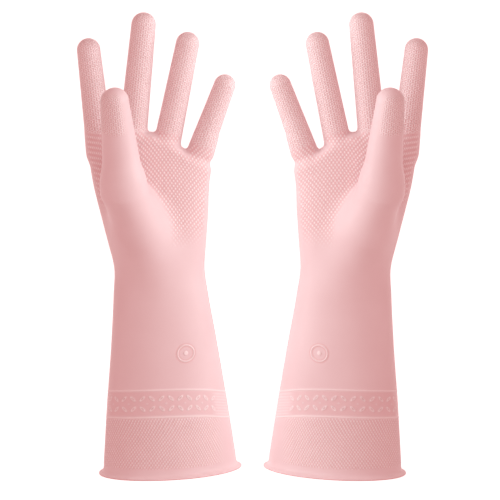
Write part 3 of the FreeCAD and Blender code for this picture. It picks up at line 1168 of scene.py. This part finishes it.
# %% [markdown]
# ## Left and right
# The right glove comes off a mirror-image former, so each piece is mirrored into a mesh
# of its own. Each zone stands for its solid in the frame. The cuff's zones follow the
# cuff's body; the other zones are attached to no body and are not bent.

# %% Mirror, place and bend
WRIST_BEND = 36 * MM
KNUCKLE_BEND = 14 * MM
MIDDLE_BEND = 11 * MM


def mirrored(piece, name):
    """A mirror image of a piece, with its own mesh and its faces turned outwards again."""
    copy = piece.copy()
    copy.data = piece.data.copy()
    copy.name = copy.data.name = name
    bpy.context.collection.objects.link(copy)
    points = get_points(copy)
    points[:, 0] *= -1
    set_points(copy, points)
    copy.data.flip_normals()
    return copy


def bend(piece, side, parent, child, place, direction, length):
    """Bakes a piece's transform into its mesh. The piece is not bent: side, parent, child, place,
    direction and length are not used.
    """
    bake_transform(piece)


def fit(piece, side, zone):
    """Gives a piece its material, and its place in the frame."""
    piece.data.materials.clear()
    piece.data.materials.append(LATEX)
    if zone in ("cuff_panel", "gauntlet", "cuff_rim"):
        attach(piece, f"{side}_cuff")
        if zone != "cuff_panel":
            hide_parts(f"{side}_{zone}")
        return
    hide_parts(f"{side}_{zone}")
    up = np.array((0.0, 0.0, 1.0))
    if zone == "hand":
        bend(piece, side, "cuff", "hand", np.array((WRIST[0], CENTRE_Y, WRIST_Z)), up, WRIST_BEND)
        return
    name, part = zone.split("_")
    line = TUBES[name]
    if part == "base":
        seam = line["root"] + line["along"] * SEAM_RISE
        bend(piece, side, "hand", zone, seam, line["along"], KNUCKLE_BEND)
    else:
        middle = line["root"] + line["along"] * line["middle"]
        bend(piece, side, f"{name}_base", zone, middle, line["along"], MIDDLE_BEND)


GLOVES = {"left": [], "right": []}
for zone, piece in FILM.items():
    right = mirrored(piece, piece.name.replace("left_", "right_"))
    fit(piece, "left", zone)
    fit(right, "right", zone)
    GLOVES["left"].append(piece)
    GLOVES["right"].append(right)
print("pieces:", sum(len(pieces) for pieces in GLOVES.values()))

# %% [markdown]
# ## Paper sweep
# The gloves stand on white paper that turns up behind them. It is large, because a long
# lens stands far off, and it starts as one plane whose back edge is extruded upwards.

# %% Floor
SWEEP_SIZE = 44          # metres
SWEEP_FORWARD = 10
SWEEP_HEIGHT = 14

start()
bpy.ops.mesh.primitive_plane_add(size=SWEEP_SIZE, location=(0, -SWEEP_FORWARD, 0))
floor = bpy.context.object
floor.name = floor.data.name = "studio_floor"
floor.data.vertices.foreach_set("select", np.zeros(4, bool))
floor.data.polygons.foreach_set("select", np.zeros(1, bool))
floor.data.edges.foreach_set("select", [
    all(floor.data.vertices[v].co.y > 0 for v in edge.vertices) for edge in floor.data.edges])
bpy.ops.object.mode_set(mode="EDIT")
bpy.ops.mesh.select_mode(type="EDGE")
bpy.ops.mesh.extrude_region_move(TRANSFORM_OT_translate={"value": (0, 0, SWEEP_HEIGHT)})
bpy.ops.object.mode_set(mode="OBJECT")
paper = bpy.data.materials.new("matt_white_paper")
paper.use_nodes = True
coat = paper.node_tree.nodes["Principled BSDF"].inputs
coat["Base Color"].default_value = colour("#F7F7F7")
coat["Roughness"].default_value = 0.9
# the paper glows a little, as a lit studio sweep does, so that it stays plain and pale
coat["Emission Color"].default_value = colour("#FFFFFF")
coat["Emission Strength"].default_value = 0.8
floor.data.materials.append(paper)
floor.visible_diffuse = False   # its own bright light stays on the paper
print("sweep in metres:", SWEEP_SIZE, "deep,", SWEEP_HEIGHT, "high")

# %% [markdown]
# ## Studio lights
# A soft rose sky, and for each glove one large soft key from its inner side with a warm
# fill from the other. One lamp between the gloves would shade one with the other, but a
# light can be told which pieces it lights, so neither glove's key falls on the other.

# %% Soft light helper
def group(name, things):
    collection = bpy.data.collections.new(name)
    for thing in things:
        collection.objects.link(thing)
    return collection


def soft_light(name, place, target, size, watts, tone, lit, blockers=None):
    """A soft box that lights only the given pieces. Only the blockers, if any, shade them."""
    data = bpy.data.lights.new(name, "AREA")
    data.shape = "RECTANGLE"
    data.size, data.size_y = size
    data.energy = watts
    data.color = tone
    light = bpy.data.objects.new(name, data)
    bpy.context.collection.objects.link(light)
    light.location = place
    aim(light, target)
    light.light_linking.receiver_collection = lit
    if blockers:
        light.light_linking.blocker_collection = blockers
    return light


# %% Lights
HALF_PAIR = 0.08         # from the middle of the pair to the middle of a glove, in metres
INNER_COOL = (0.82, 1.0, 1.0)
PALM_COOL = (0.75, 1.0, 1.0)
OUTER_WARM = (1.0, 0.86, 0.85)
WHITE = (1.0, 1.0, 1.0)
SKY_ROSE = (1.0, 0.58, 0.56, 1.0)

world = bpy.data.worlds.new("studio")
bpy.context.scene.world = world
world.use_nodes = True
world.node_tree.nodes["Background"].inputs["Color"].default_value = SKY_ROSE
world.node_tree.nodes["Background"].inputs["Strength"].default_value = 0.65

for side, sign in (("left", -1), ("right", 1)):
    lit = group(f"{side}_glove", GLOVES[side])
    glove_x = sign * HALF_PAIR
    heart = (glove_x, 0, 0.2)
    palm = (glove_x, 0, 0.26)
    key_place = (glove_x - sign * 1.0, -0.2, 0.45)
    soft_light(f"{side}_key", key_place, heart, (0.6, 1.0), 5.4, INNER_COOL, lit, lit)
    palm_place = (glove_x - sign * 0.25, -0.28, 0.43)
    soft_light(f"{side}_palm_key", palm_place, palm, (0.25, 0.25), 0.42, PALM_COOL, lit, lit)
    fill_place = (sign * 1.1, -0.35, 0.3)
    soft_light(f"{side}_fill", fill_place, heart, (0.8, 1.0), 0.9, OUTER_WARM, lit, lit)
both = group("both_gloves", GLOVES["left"] + GLOVES["right"])
soft_light("front_fill", (0, -2.0, 0.6), (0, 0, 0.2), (1.2, 1.2), 2.5, WHITE, both)
print("lights:", len(bpy.data.lights))
